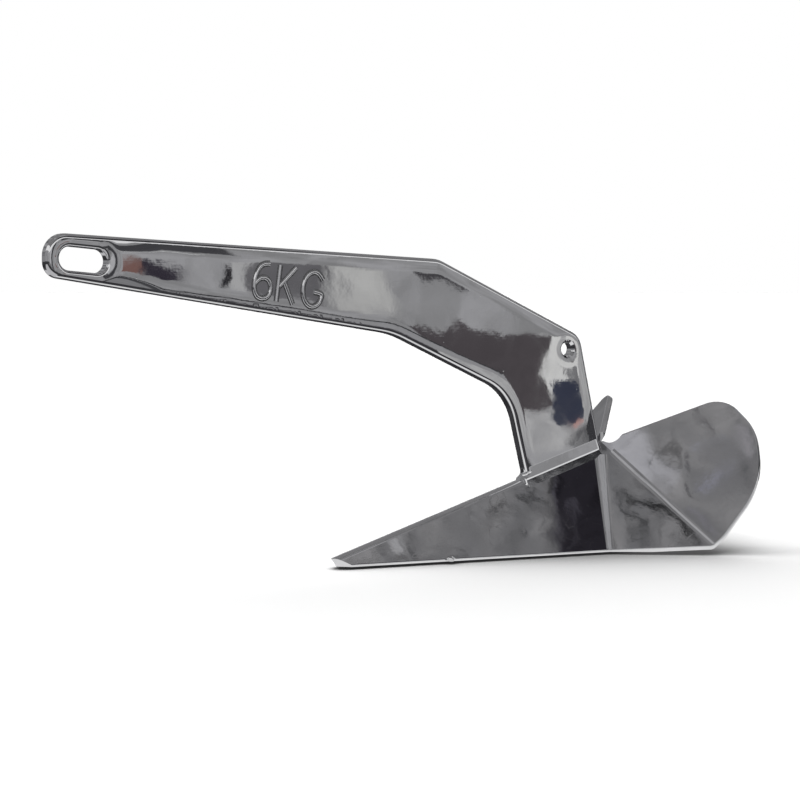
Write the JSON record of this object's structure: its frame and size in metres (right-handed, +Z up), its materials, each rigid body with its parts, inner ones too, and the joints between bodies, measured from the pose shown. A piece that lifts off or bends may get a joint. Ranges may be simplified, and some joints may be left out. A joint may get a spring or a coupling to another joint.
{
  "type": "plough anchor",
  "caption": "Polished stainless steel boat anchor with a cranked flat shank, shackle slot, trip-line hole and folded plough fluke with raised wings.",
  "frame": {"origin": "bottom centre of the whole anchor's box, on the ground plane that the fluke's lower edges stand on", "axes": "+X from the eye end of the shank back to the wings, +Y to one side of the middle plane, +Z up"},
  "size_m": [0.6276, 0.2566, 0.2624],
  "materials": {
    "polished_steel": "mirror-polished stainless steel",
    "weld_steel": "ground and polished weld metal",
    "ballast_steel": "ground stainless steel"
  },
  "bodies": {
    "root": {"shank": "polished_steel", "fluke_plate": "polished_steel", "shank_weld": "weld_steel", "toe_ballast": "ballast_steel"}
  },
  "joints": []
}
